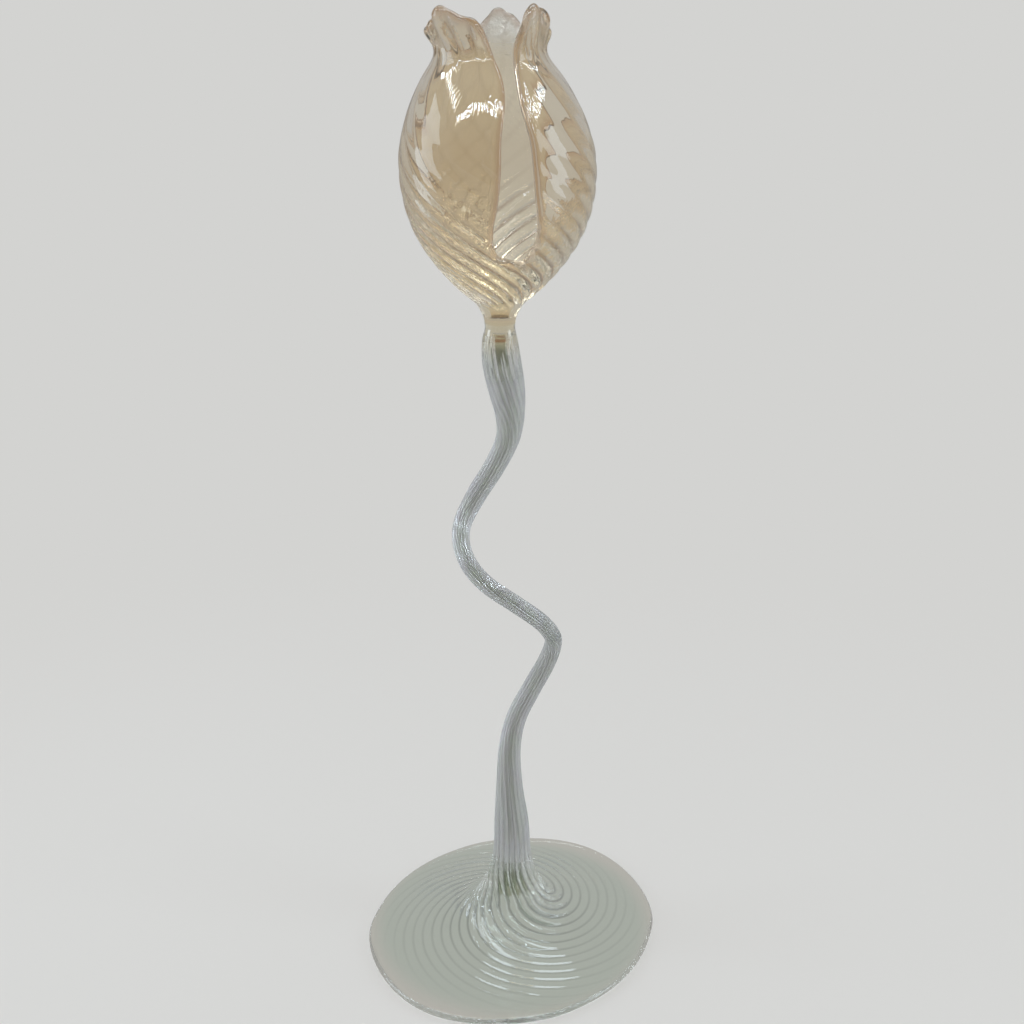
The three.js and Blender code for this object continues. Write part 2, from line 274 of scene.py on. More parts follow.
def mark_ring(piece, name, value_at):
    """Give each selected vertex of the edited piece a value that rings pulled from it inherit."""
    mesh = bmesh.from_edit_mesh(piece.data)
    layer = mesh.verts.layers.float.get(name) or mesh.verts.layers.float.new(name)
    chosen = [vertex for vertex in mesh.verts if vertex.select]
    middle = sum((vertex.co for vertex in chosen), Vector()) / len(chosen)
    for vertex in chosen:
        offset = vertex.co - middle
        vertex[layer] = value_at(rib_wave(rib_count * atan2(offset.y, offset.x)))
    bmesh.update_edit_mesh(piece.data)


def face_outwards(middle):
    """Make the edited piece's faces agree, and point them away from a middle on the whole."""
    bpy.ops.mesh.select_all(action="SELECT")
    bpy.ops.mesh.normals_make_consistent(inside=False)
    mesh = bmesh.from_edit_mesh(bpy.context.object.data)
    outwards = sum(
        face.normal.dot(face.calc_center_median() - middle) * face.calc_area() for face in mesh.faces
    )
    if outwards < 0:
        bpy.ops.mesh.flip_normals()


level_reach = 0.35


def fit_ring(piece, level, radius, middle):
    """Bring the outer ring that lies on a level to a mean radius about a middle, and flat."""
    def off(vertex):
        return hypot(vertex.co.x / mm - middle[0], vertex.co.y / mm - middle[1])

    def on_ring(vertex):
        return abs(vertex.co.z / mm - level) < level_reach and off(vertex) > 0.8 * radius

    near = [vertex for vertex in bmesh.from_edit_mesh(piece.data).verts if on_ring(vertex)]
    mean = sum(off(vertex) for vertex in near) / len(near)
    pick(piece, "verts", on_ring)
    bpy.ops.transform.resize(
        value=(radius / mean, radius / mean, 0), center_override=Vector((*middle, level)) * mm
    )


def sharpen(piece, level):
    """Keep the rim of a flat end crisp, so that the side's shading runs on to the next piece."""
    pick(piece, "edges", lambda edge: all(abs(v.co.z / mm - level) < 0.01 for v in edge.verts))
    bpy.ops.mesh.mark_sharp()


def show(piece, note=""):
    """Back to object mode, smooth shaded, with a line that says what was made."""
    if bpy.context.mode == "EDIT_MESH":
        bpy.ops.object.mode_set(mode="OBJECT")
    bpy.ops.object.select_all(action="DESELECT")
    piece.select_set(True)
    bpy.context.view_layer.objects.active = piece
    bpy.ops.object.shade_smooth()
    size = [round(v / mm, 1) for v in piece.dimensions]
    print(piece.name, len(piece.data.polygons), "faces,", size, "mm", note)


def subdivide(piece, levels):
    """Round the piece off with a Subdivision Surface, and apply it."""
    smoothing = piece.modifiers.new("smoothing", "SUBSURF")
    smoothing.levels = smoothing.render_levels = levels
    bpy.ops.object.modifier_apply(modifier="smoothing")


def write_down(piece, name, values):
    """Keep one value for each vertex in the piece's mesh, for its material to read."""
    layer = piece.data.attributes.new(name, "FLOAT", "POINT")
    layer.data.foreach_set("value", values)


def raise_ribs(piece, depth, share_and_groove):
    """Push the surface out along its normals by a share of depth, and write down the grooves."""
    group = piece.vertex_groups.new(name="ribs")
    grooves = []
    for vertex in piece.data.vertices:
        share, groove = share_and_groove(vertex)
        grooves.append(groove)
        if share > 0:
            group.add([vertex.index], min(share, 1), "REPLACE")
    ribs = piece.modifiers.new("ribs", "DISPLACE")
    ribs.vertex_group = "ribs"
    ribs.mid_level = 0
    ribs.strength = depth * mm
    bpy.ops.object.modifier_apply(modifier="ribs")
    piece.vertex_groups.clear()
    write_down(piece, "groove", grooves)


# %% [markdown]
# The foot is a bubble that was opened and spun until it lay out as a disc. Its outline runs from
# the bore, down the hollow underside, along the flat ring that stands on the table, round the
# rolled rim and back up the flare. One ring is pulled along that outline. Two levels of
# subdivision make it smooth, and a Displace modifier then raises the swirling ribs on top.

# %% Foot
foot_columns = 72
flare_end = 14
flare_turn = 0.1
disc_fade = (0.72, 16, 30)
disc_groove_fade = (0.6, 20, 44)


def between(outline, inner, outer, low):
    """An outline of shares as (radius, height), from the neck of the foot to a low level."""
    return [(inner + (outer - inner) * out, low + (foot_height - low) * up) for out, up in outline]


foot_bore = stem_stations[0][3] * bore_share
foot_neck = stem_stations[0][3] * (1 - rib_share / 2)
top_points = between(flare_outline, foot_neck, foot_radius, rim_thickness)
rim_points = [
    (foot_radius - inset, height)
    for inset, height in ((2.5, 0.15), (0.95, 0.7), (0.3, 1.85), (0.95, 2.95))
]
under_points = between(hollow_outline, foot_bore, land_inner, 0)
top_rows = even_points(smooth_line(top_points[::-1]), 46)
under_rows = even_points(smooth_line(under_points), 20)
foot_rows = under_rows + [(land_outer, 0)] + rim_points + top_rows


def oval_at(radius):
    """How far the foot is out of round at a radius."""
    return foot_oval * ease(radius, 25, foot_radius)


foot = start_ring("foot_glass", foot_columns, foot_rows[0][0], (0, 0, foot_rows[0][1]))
for (r0, z0), (r1, z1) in zip(foot_rows, foot_rows[1:]):
    long_way = (r1 + oval_at(r1)) / (r0 + oval_at(r0))
    short_way = (r1 - oval_at(r1)) / (r0 - oval_at(r0))
    pull_ring((0, 0, z1 - z0), (long_way, short_way, 1), (0, 0, z1))
bpy.ops.mesh.select_all(action="SELECT")
turn_ring(radians(foot_oval_azimuth), (0, 0, 1), (0, 0, 0))
face_outwards(Vector((0, 0, 0)))
pick(foot, "edges", all_at(0))
bpy.ops.transform.edge_crease(value=0.8)
show(foot)
subdivide(foot, 2)


def foot_turn(radius):
    """How far the ribs have turned at a radius: a little on the flare, and the rest on the disc."""
    on_flare = ease(radius, stem_stations[0][3], flare_end)
    on_disc = min(max((radius - flare_end) / (land_outer - flare_end), 0), 1)
    return foot_swirl * (flare_turn * on_flare + (1 - flare_turn) * on_disc)


def foot_rib(vertex):
    """How far the ribs raise a point of the foot, as a share of their depth, and its groove."""
    x, y, z = vertex.co / mm
    radius = hypot(x, y)
    if radius < foot_bore * 1.3 or (vertex.normal.z < 0.02 and z < 40 and radius < land_outer):
        return 0, 0
    start = rib_share * stem_stations[0][3] / foot_rib_depth
    on_flare = ease(radius, stem_stations[0][3], flare_end)
    on_rim = ease(radius, land_inner - 12, foot_radius - 1.5)
    depth = (start + (1 - start) * on_flare) * (1 - on_rim) * left_after(radius, *disc_fade)
    crest = rib_wave(rib_count * (atan2(y, x) - foot_turn(radius)))
    sideways = hypot(vertex.normal.x, vertex.normal.y) * ease(radius, land_outer, foot_radius - 1)
    wave = rim_wave / foot_rib_depth * (1 + cos(6 * atan2(y, x)))
    groove = groove_at(crest) * (1 - on_rim) * left_after(radius, *disc_groove_fade)
    return depth * (0.5 + 0.5 * crest) + sideways * wave, groove


raise_ribs(foot, foot_rib_depth, foot_rib)
bpy.ops.object.mode_set(mode="EDIT")
pick(foot, "edges", lambda edge: edge.is_boundary)
flatten(foot_height)
bpy.ops.mesh.bridge_edge_loops()
pick(foot, "verts", lambda vertex: vertex.co.z < 0.02 * mm)
flatten(0)
face_outwards(Vector((0, 0, 0)))
sharpen(foot, foot_height)
show(foot, "with its ribs")

# %% [markdown]
# The stem is a tube with a small bore. It was drawn out hot and bent round into one open turn of
# a corkscrew while it was twisted, so its ribs wind along it. The first ring is marked with the
# wave of the ribs. Each ring is moved on along the path and turned square to it. The ribs are
# raised while the tube has no inside yet. Then the top ring is scaled in to the bore, marked as
# such, and goes back down inside.

# %% Stem
stem_columns_per_rib = 8
rib_lean = 0.5
look_ahead = 0.004
neck_fade = 14
outer_rings = 132
bore_rings = 66
stem_line = smooth_line(stem_stations)


def stem_frame(share):
    """Middle, radius, and turning matrix of the ring at a share of the stem."""
    x, y, z, radius, turn = stem_line(share)
    ahead, behind = stem_line(min(1, share + look_ahead)), stem_line(max(0, share - look_ahead))
    along = Vector([a - b for a, b in zip(ahead[:3], behind[:3])]).normalized()
    if share in (0, 1):
        along = Vector((0, 0, 1))
    across = Vector((1, 0, 0))
    across = (across - across.dot(along) * along).normalized()
    deep = along.cross(across)
    frame_matrix = Matrix((across, deep, along)).transposed()
    turned = frame_matrix @ Matrix.Rotation(radians(turn * rib_lean), 3, "Z")
    return Vector((x, y, foot_height + z)), radius, turned


def pull_along(shares):
    """Pull the selected ring on through the stem's frames."""
    for was, now in zip(shares, shares[1:]):
        middle, radius, turned = stem_frame(was)
        new_middle, new_radius, new_turned = stem_frame(now)
        pull_ring(new_middle - middle, (new_radius / radius,) * 3, new_middle)
        axis, angle = (new_turned @ turned.inverted()).to_quaternion().to_axis_angle()
        turn_ring(angle, axis, new_middle)


upwards = [i / outer_rings for i in range(outer_rings + 1)]
downwards = [1 - i / bore_rings for i in range(bore_rings + 1)]
stem_bottom, bottom_radius, _ = stem_frame(0)
smooth_radius = bottom_radius * (1 - rib_share / 2)
stem = start_ring("stem_glass", rib_count * stem_columns_per_rib, smooth_radius, stem_bottom)
mark_ring(stem, "wave", lambda wave: wave)
mark_ring(stem, "bore", lambda wave: 0)
pull_along(upwards)
face_outwards(Vector((0, 0, 0)))
show(stem, "as a smooth tube")


def stem_rib(vertex):
    """How far the ribs raise a point of the stem, as a share of their depth at its foot."""
    height = vertex.co.z / mm - foot_height
    size = stem_line(share_where(stem_line, 2, height, 20))[3] / bottom_radius
    wave = stem.data.attributes["wave"].data[vertex.index].value
    lost = 1 - neck_rib_share / rib_share
    left = left_after(height, lost, stem_height - neck_fade, stem_height)
    return size * (0.5 + left * wave / 2), groove_at(wave) * left


raise_ribs(stem, rib_share * bottom_radius, stem_rib)
bpy.ops.object.mode_set(mode="EDIT")
stem_end, _, _ = stem_frame(1)
pick(stem, "edges", lambda edge: edge.is_boundary and edge.verts[0].co.z / mm > neck_base - 1)
pull_ring((0, 0, 0), (bore_share, bore_share, 1), stem_end)
mark_ring(stem, "bore", lambda wave: 1)
pull_along(downwards)
pick(stem, "edges", lambda edge: edge.is_boundary)
bpy.ops.mesh.bridge_edge_loops()
face_outwards(Vector((0, 0, 0)))
fit_ring(stem, neck_base, stem_top_radius, (stem_x, stem_y))
fit_ring(stem, foot_height, bottom_radius, (0, 0))
for level in (foot_height, neck_base):
    pick(stem, "verts", lambda vertex: abs(vertex.co.z / mm - level) < level_reach)
    flatten(level)
    sharpen(stem, level)
show(stem, "with its ribs and its bore")

# %% [markdown]
# The neck bit is a dab of solid glass. A few rings give its waist, and its bottom is inset
# by a ring as wide as the stem's bore, because the bore ends there.

# %% Neck bit
neck = start_ring(
    "neck_glass", rib_count * stem_columns_per_rib, stem_top_radius, (stem_x, stem_y, neck_base)
)
neck_line = smooth_line(
    [(stem_top_radius, 0), (neck_waist, neck_height / 2), (neck_top_radius, neck_height)]
)
neck_rows = [neck_line(i / 6) for i in range(7)]
for (r0, z0), (r1, z1) in zip(neck_rows, neck_rows[1:]):
    pull_ring((0, 0, z1 - z0), (r1 / r0, r1 / r0, 1), (stem_x, stem_y, neck_base + z1))
bpy.ops.mesh.edge_face_add()
pick(neck, "edges", all_at(neck_base))
pull_ring((0, 0, 0), (bore_share, bore_share, 1), (stem_x, stem_y, neck_base))
bpy.ops.mesh.edge_face_add()
face_outwards(Vector((0, 0, 0)))
sharpen(neck, neck_base)
sharpen(neck, blossom_base)
show(neck)

# %% [markdown]
# The blossom began as a closed bubble with twisted ribs. It was opened, sheared into three petals
# down to a rounded slit between each two, and its edge was snipped and pulled into points. Here a
# ring is pulled along the bubble's outline first. Its columns are then split along the three slits,
# and the net of rows and columns is slid over the bubble until its seams are the slits' edges and
# its top row is the sheared edge. Cutting a finished wall instead would leave ragged lips, and
# glass shows those. The mouth is pinched in a little beside the front slit, where the pincers
# held it. The wall's thickness, the round lips and the ribs come after that.

# %% Bubble
petal_columns = 16
blossom_columns = 3 * petal_columns
low_rows = 10
high_rows = 26
bubble_line = smooth_line(bubble_outline)
bubble_steps = 1200
slope_step = 0.002
pinch_azimuth, pinch_width, pinch_depth = -97, 26, 4
pinch_from, pinch_full = 92, 110
bubble_run = lengths_along([bubble_line(i / bubble_steps) for i in range(bubble_steps + 1)])


def share_at_run(run):
    """Share of the outline at a distance along it from the neck."""
    low, high = 0, bubble_steps
    while high - low > 1:
        middle = (low + high) // 2
        low, high = (middle, high) if bubble_run[middle] < run else (low, middle)
    u = (run - bubble_run[low]) / (bubble_run[high] - bubble_run[low])
    return (low + min(max(u, 0), 1)) / bubble_steps


def run_at_height(height):
    """Distance along the outline at which it reaches a height over the neck."""
    place = share_where(bubble_line, 1, height, 30) * bubble_steps
    i = min(int(place), bubble_steps - 1)
    return bubble_run[i] + (bubble_run[i + 1] - bubble_run[i]) * (place - i)


def lean_at(height):
    """How far the blossom has leaned over at a height."""
    return -blossom_lean * max(0, height / blossom_height) ** 3


def blossom_turn(height):
    """How far the ribs have turned at a height over the neck."""
    left = max(0, 1 - max(0, height) / blossom_height)
    return radians(stem_turn) - blossom_twist * (1 - left**2)


def bubble_point(run, azimuth, inset):
    """A point of the wall, set in from the outline square to it, and pinched by the front slit."""
    share = share_at_run(run)
    radius, height = bubble_line(share)
    ahead, behind = bubble_line(share + slope_step), bubble_line(share - slope_step)
    slope = Vector((ahead[0] - behind[0], ahead[1] - behind[1])).normalized()
    inset *= ease(run, 0, 6)
    radius, height = radius - inset * slope.y, height + inset * slope.x
    off_slit = (degrees(azimuth) - pinch_azimuth + 180) % 360 - 180
    pinch = exp(-((off_slit / pinch_width) ** 2))
    radius -= pinch_depth * pinch * ease(height, pinch_from, pinch_full)
    x = stem_x + lean_at(height) + radius * cos(azimuth)
    return Vector((x, stem_y + radius * sin(azimuth), blossom_base + height)) * mm


slit_bottom = sum(bottom for _, bottom in slits) / len(slits)
droop = 3
low_run = run_at_height(slit_bottom - droop)
row_runs = [low_run * i / low_rows for i in range(low_rows + 1)]
row_runs += [low_run + (bubble_run[-1] - low_run) * i / high_rows for i in range(1, high_rows + 1)]
rows = [bubble_line(share_at_run(run)) for run in row_runs]
blossom_middle = Vector((stem_x, stem_y, blossom_base))
blossom = start_ring("blossom_glass", blossom_columns, rows[0][0], blossom_middle)
turn_ring(radians(slits[0][0]), (0, 0, 1), blossom_middle)
for (r0, z0), (r1, z1) in zip(rows, rows[1:]):
    pull_ring((0, 0, z1 - z0), (r1 / r0, r1 / r0, 1), blossom_middle + Vector((0, 0, z1)))
show(blossom, "as a bubble")

# %% [markdown]
# Each vertex knows its row by its height and its column by its azimuth. The columns over the
# slits are split, and each half goes to its own petal. The left petal's corner is cut back a little
# more than the rest, and all tips stop just short of the solids', to leave room for the ribs.

# %% Petals
lip_opening, corner_cut, tip_drop = 1.2, 5, 0.9
cutter_height = 75
lip_reach = 0.32


def azimuth_of(point):
    return atan2(point.y / mm - stem_y, point.x / mm - stem_x)


def column_of(point):
    turns = (azimuth_of(point) - radians(slits[0][0])) / (2 * pi)
    return round(turns * blossom_columns) % blossom_columns


def row_of(point):
    height = point.z / mm - blossom_base
    return min(range(len(rows)), key=lambda i: abs(rows[i][1] - height))


bpy.ops.object.mode_set(mode="EDIT")
found = pick(
    blossom,
    "edges",
    lambda edge: all(
        column_of(v.co) % petal_columns == 0 and row_of(v.co) >= low_rows for v in edge.verts
    ),
)
bpy.ops.mesh.edge_split(type="EDGE")
print("edges split for the slits:", found)


def edge_height(azimuth):
    """Height of the sheared edge over the neck, smoothly through its stations."""
    angle = (degrees(azimuth) + 180) % 360 - 180
    count = len(mouth_edge)

    def station(k):
        return mouth_edge[k % count][0] + 360 * (k // count), mouth_edge[k % count][1]

    k = count - 1
    while station(k)[0] > angle:
        k -= 1
    u = (angle - station(k)[0]) / (station(k + 1)[0] - station(k)[0])
    height = smooth_line([station(k + i) for i in (-1, 0, 1, 2)])((1 + u) / 3)[1]
    shear_marks = 0.3 * sin(23 * azimuth) + 0.2 * sin(41 * azimuth)
    return min(blossom_height, height + shear_marks) - tip_drop


def edge_run(azimuth):
    """Distance along the outline of the sheared edge, whose waves turned a little with the ribs."""
    height = edge_height(azimuth)
    turned = azimuth - blossom_turn(height) + blossom_turn(blossom_height)
    return run_at_height(edge_height(turned))


slit_line = smooth_line(slit_outline)
cutter_lean = lean_at(cutter_height)


def slit_side(slit, side):
    """Rows of (run, azimuth) up one edge of a slit, from its bottom to the sheared edge."""
    facing, bottom = radians(slits[slit][0]), slits[slit][1]
    trail = []
    for i in range(401):
        half, up = slit_line(i / 400)
        height = bottom + up
        radius = bubble_line(share_at_run(run_at_height(height)))[0]
        half += lip_opening * (1 - ease(up, 10, 40))
        if (slit, side) == (0, -1):
            half += corner_cut * ease(height, 93, 109)
        offset = (cutter_lean - lean_at(height)) * -sin(facing) + side * half
        azimuth = facing + asin(offset / radius)
        run = run_at_height(height)
        trail.append((run, azimuth, radius))
        if run > edge_run(azimuth):
            break
    lengths = [0]
    for (run0, a0, r0), (run1, a1, r1) in zip(trail, trail[1:]):
        lengths.append(lengths[-1] + hypot(run1 - run0, (a1 - a0) * r0))
    return spread([point[:2] for point in trail], lengths, high_rows)


slit_sides = {(slit, side): slit_side(slit, side) for slit in range(3) for side in (-1, 1)}


def bottom_at(azimuth):
    """Height of the slits' bottoms, carried smoothly round from one to the next."""
    turn = (azimuth - radians(slits[0][0])) / (2 * pi) * 3
    k, u = floor(turn), turn - floor(turn)
    return slits[k % 3][1] + (slits[(k + 1) % 3][1] - slits[k % 3][1]) * ease(u, 0, 1)


def net_point(row, petal, across):
    """(run, azimuth) of a crossing of the net; across is from 0 to 1 over the petal."""
    first = radians(slits[0][0]) + 2 * pi / 3 * petal
    if row <= low_rows:
        azimuth = first + 2 * pi / 3 * across
        full = run_at_height(bottom_at(azimuth) - droop)
        run = full * row / low_rows
        near = min(across, 1 - across) * petal_columns
        height = bubble_line(share_at_run(run))[1]
        follow = blossom_turn(height) - blossom_turn(slit_bottom - droop)
        if row == low_rows:
            run = run_at_height(bottom_at(azimuth)) if near < 0.5 else run
        elif row == low_rows - 1:
            run += 1.2 * max(0, 1 - near)
        return run, azimuth + follow
    k = row - low_rows
    left_run, left = slit_sides[petal % 3, 1][k]
    right_run, right = slit_sides[(petal + 1) % 3, -1][k]
    left += 2 * pi * round((first - left) / (2 * pi))
    right += 2 * pi * round((first + 2 * pi / 3 - right) / (2 * pi))
    azimuth = left + (right - left) * across
    start = run_at_height(bottom_at(azimuth) - droop)
    middle_run = start + (edge_run(azimuth) - start) * k / high_rows
    inwards = ease(across, 0, lip_reach) * ease(1 - across, 0, lip_reach)
    inwards += (1 - inwards) * (k / high_rows) ** 4
    lip_run = left_run + (right_run - left_run) * across
    return lip_run + (middle_run - lip_run) * inwards, azimuth


crowd_lips = 0.4
lip_proud = 0.6
mesh = bmesh.from_edit_mesh(blossom.data)
places = {}
for vertex in mesh.verts:
    row, column = row_of(vertex.co), column_of(vertex.co)
    petal, step = divmod(column, petal_columns)
    across = step / petal_columns - crowd_lips * sin(2 * pi * step / petal_columns) / (2 * pi)
    if step == 0 and row > low_rows:
        middle = sum((face.calc_center_median() for face in vertex.link_faces), Vector())
        middle /= len(vertex.link_faces)
        side = azimuth_of(middle) - azimuth_of(vertex.co)
        if (side + pi) % (2 * pi) - pi < 0:
            petal, across = petal - 1, 1
    on_lip = row == len(rows) - 1 or (step == 0 and row >= low_rows)
    inset = blossom_rib_depth / 2 - lip_proud * on_lip
    places[vertex] = bubble_point(*net_point(row, petal, across), inset)
for vertex, place in places.items():
    vertex.co = place
bmesh.update_edit_mesh(blossom.data)
pick(blossom, "edges", lambda edge: edge.is_boundary and all_at(blossom_base)(edge))
bpy.ops.mesh.edge_face_add()
bpy.ops.transform.edge_crease(value=1)
face_outwards(blossom_middle * mm)
show(blossom, "as petals")

# %% [markdown]
# Solidify gives the wall, thick at the neck, thin over the petals and thicker again where the
# shears pressed the edge and the flame drew it into a round lip. The two levels of subdivision
# round that lip off. The ribs come last. They are kept calm beside the lips of the slits, so that
# these stay clean, and the inside of the bubble has them too, as mould-blown glass does.

# %% Wall, lips and ribs
wall_at_neck, wall_at_petal, wall_at_lip = 3.0, 1.6, 2.9
inner_rib_share = 0.9
beside_lip = 0.55
wall = blossom.vertex_groups.new(name="wall")
blossom.vertex_groups.new(name="inner")
lip_side = blossom.vertex_groups.new(name="lip side")
near_lip = blossom.vertex_groups.new(name="near lip")
face_count = {}
for polygon in blossom.data.polygons:
    for key in polygon.edge_keys:
        face_count[key] = face_count.get(key, 0) + 1
lip = {v for key, count in face_count.items() if count == 1 for v in key}
beside = {v for key in face_count if lip.intersection(key) for v in key} - lip
near_lip.add(list(lip), 1, "REPLACE")
near_lip.add(list(beside), beside_lip, "REPLACE")
for vertex in blossom.data.vertices:
    height = vertex.co.z / mm - blossom_base
    thickness = wall_at_neck + (wall_at_petal - wall_at_neck) * ease(height, 3, 40)
    if vertex.index in lip:
        thickness = max(thickness, wall_at_lip)
        lip_side.add([vertex.index], 1, "REPLACE")
    wall.add([vertex.index], thickness / wall_at_neck, "REPLACE")
shell = blossom.modifiers.new("wall", "SOLIDIFY")
shell.thickness = wall_at_neck * mm
shell.offset = -1
shell.use_even_offset = True
shell.vertex_group = "wall"
shell.shell_vertex_group = "inner"
bpy.ops.object.modifier_apply(modifier="wall")
subdivide(blossom, 2)


def weights_of(name):
    """The weight of each vertex of the blossom in a vertex group."""
    index = blossom.vertex_groups[name].index
    return [sum(g.weight for g in v.groups if g.group == index) for v in blossom.data.vertices]


inner_shares, lip_shares, near_shares = (weights_of(n) for n in ("inner", "lip side", "near lip"))
write_down(blossom, "lips", lip_shares)


def ribs_left(height):
    """Blowing stretched the ribs thin over the petals, and the pulled mouth gathered them again."""
    stretched = 1 - 0.62 * ease(height, 22, 50) - 0.28 * ease(height, 50, 84)
    return stretched + 0.8 * ease(height, 97, 108)


def blossom_rib(vertex):
    """How far the ribs raise a point of the blossom, as a share of their depth, and its groove."""
    inside = inner_shares[vertex.index]
    x, y, z = vertex.co / mm
    height = z - blossom_base
    radius = hypot(x - stem_x - lean_at(height), y - stem_y)
    on_lip = lip_shares[vertex.index]
    calm = 1 - 0.9 * near_shares[vertex.index] * (1 - ease(height, 60, 90))
    depth = ease(radius, 8.5, 14.5) * ribs_left(height) * calm
    azimuth = atan2(y - stem_y, x - stem_x - lean_at(height))
    crest = rib_wave(rib_count * (azimuth - blossom_turn(height)))
    outer = 0.5 * ease(height, 0, 6) + depth * crest / 2
    inner_left = ease(height, 10, 18) * (1 - ease(height, 44, 60)) + 0.3 * ease(height, 100, 108)
    inner = inner_rib_share * depth * (0.5 + crest / 2) * inner_left
    groove_left = ease(height, 6, 12) * left_after(height, 0.9, 30, 52)
    groove_left += 0.45 * ease(height, 98, 108)
    groove = groove_at(crest) * groove_left * (1 - on_lip)
    return outer * (1 - inside) + inner * inside, groove * (1 - inside)


raise_ribs(blossom, blossom_rib_depth, blossom_rib)
bpy.ops.object.mode_set(mode="EDIT")
pick(blossom, "verts", lambda vertex: vertex.co.z / mm < blossom_base + 0.25)
flatten(blossom_base)
fit_ring(blossom, blossom_base, neck_top_radius, (stem_x, stem_y))
sharpen(blossom, blossom_base)
show(blossom, "with wall, lips and ribs")

# %% [markdown]
# Shader maths reads best as plain sums. This class wraps a socket of a material's node tree, and
# its operators add the Math nodes, so that a pattern can be written as one expression.

# %% Shader sums
class Wire:
    def __init__(self, tree, socket):
        self.tree, self.socket = tree, socket

    def node(self, kind, settings=None, **values):
        """Any node: its settings first, then the values or links of its sockets."""
        made = self.tree.nodes.new(kind)
        for name, value in (settings or {}).items():
            setattr(made, name, value)
        for name, value in values.items():
            key = int(name[1:]) if name[0] == "_" else name.replace("_", " ")
            if isinstance(value, Wire):
                self.tree.links.new(value.socket, made.inputs[key])
            else:
                made.inputs[key].default_value = value
        return made

    def out(self, kind, settings=None, output=0, **values):
        return Wire(self.tree, self.node(kind, settings, **values).outputs[output])

    def math(self, operation, first, second=0.0):
        return self.out("ShaderNodeMath", {"operation": operation}, _0=first, _1=second)

    def __add__(self, other):
        return self.math("ADD", self, other)

    def __radd__(self, other):
        return self.math("ADD", other, self)

    def __sub__(self, other):
        return self.math("SUBTRACT", self, other)

    def __rsub__(self, other):
        return self.math("SUBTRACT", other, self)

    def __mul__(self, other):
        return self.math("MULTIPLY", self, other)

    def __rmul__(self, other):
        return self.math("MULTIPLY", other, self)

    def ramp(self, low, high):
        """0 to 1 as the value goes from low to high, smoothly."""
        smooth = {"interpolation_type": "SMOOTHSTEP"}
        return self.out("ShaderNodeMapRange", smooth, Value=self, From_Min=low, From_Max=high)

    def mix(self, first, second):
        """A colour between two, by this value."""
        return self.out("ShaderNodeMix", {"data_type": "RGBA"}, 2, _0=self, _6=first, _7=second)


def colour(*screen):
    """A colour as it is read off a screen, 0 to 255, made linear."""
    linear = [((c / 255 + 0.055) / 1.055) ** 2.4 if c > 10 else c / 3295 for c in screen]
    return (*linear, 1)


# %% [markdown]
# The glass is a Principled shader with full transmission. Its tint is in the base colour, which
# colours light once on the way in and once on the way out, so it is written paler than it looks.
# The stem and the top of the foot are milky: a second glass that lets less through, with a pearly
# coat and sheen, is mixed in there. The flame left fine dents on the tips, and a frosty one behind.
# The tint also holds painted shade: the grooves, a patch inside the foot's flare and a ring on the floor
# of the cup are tinted darker. It holds painted light too: the petals are tinted lighter low down and
# high up, and the tip behind paler still, for glints and reflections.

# %% Glass
milk_roughness, milk_clear, pearl_sheen = 0.12, 0.68, 0.6
glass_ior = 1.5


def marked(place, name):
    """The value that a piece's mesh carries under a name."""
    return place.out("ShaderNodeAttribute", {"attribute_name": name}, output=2)


def set_glass(shader, roughness, clear, coat, sheen):
    """The settings of a glass that are the same all over it."""
    for socket, value in (
        ("Roughness", roughness), ("Transmission Weight", clear), ("IOR", glass_ior),
        ("Coat Weight", coat), ("Coat Roughness", 0.08),
        ("Sheen Weight", sheen), ("Sheen Roughness", 0.4),
    ):
        shader.inputs[socket].default_value = value


def glass(name, tint, roughness=0.0, clear=1.0, coat=0.0, sheen=0.0, frost=None, dents=None, milk=None):
    """A glass; tint(place, groove) colours it, and frost, dents and milk(place) vary it, if given."""
    material = bpy.data.materials.new(name)
    material.use_nodes = True
    tree = material.node_tree
    shader = tree.nodes["Principled BSDF"]
    place = Wire(tree, tree.nodes.new("ShaderNodeTexCoord").outputs["Object"])
    groove = marked(place, "groove")
    set_glass(shader, roughness, clear, coat, sheen)
    tree.links.new(tint(place, groove).socket, shader.inputs["Base Color"])
    if frost:
        tree.links.new(frost(place).socket, shader.inputs["Roughness"])
    if milk:
        pearly = tree.nodes.new("ShaderNodeBsdfPrincipled")
        set_glass(pearly, milk_roughness, milk_clear, 1, pearl_sheen)
        tree.links.new(tint(place, groove).socket, pearly.inputs["Base Color"])
        both = place.out(
            "ShaderNodeMixShader",
            _0=milk(place), _1=Wire(tree, shader.outputs[0]), _2=Wire(tree, pearly.outputs[0]),
        )
        tree.links.new(both.socket, tree.nodes["Material Output"].inputs[0])
    if dents:
        marks = place.out("ShaderNodeBump", Strength=0.6, Distance=0.0004, Height=dents(place))
        tree.links.new(marks.socket, shader.inputs["Normal"])
    return material


def height_of(place):
    return place.out("ShaderNodeSeparateXYZ", output=2, _0=place)


def behind(place):
    """1 at the back of the flower and 0 in front."""
    return place.out("ShaderNodeSeparateXYZ", output=1, _0=place).ramp(0.005, 0.015)


def radius_across(place, x=0, y=0):
    """Distance from an upright line through (x, y)."""
    level = place.out("ShaderNodeVectorMath", {"operation": "MULTIPLY"}, _0=place, _1=(1, 1, 0))
    return place.out("ShaderNodeVectorMath", {"operation": "DISTANCE"}, output=1, _0=level, _1=(x, y, 0))


def band(value, low, high, soft):
    """1 where a value lies between two limits, with soft ends."""
    return value.ramp(low - soft, low + soft) * (1 - value.ramp(high - soft, high + soft))


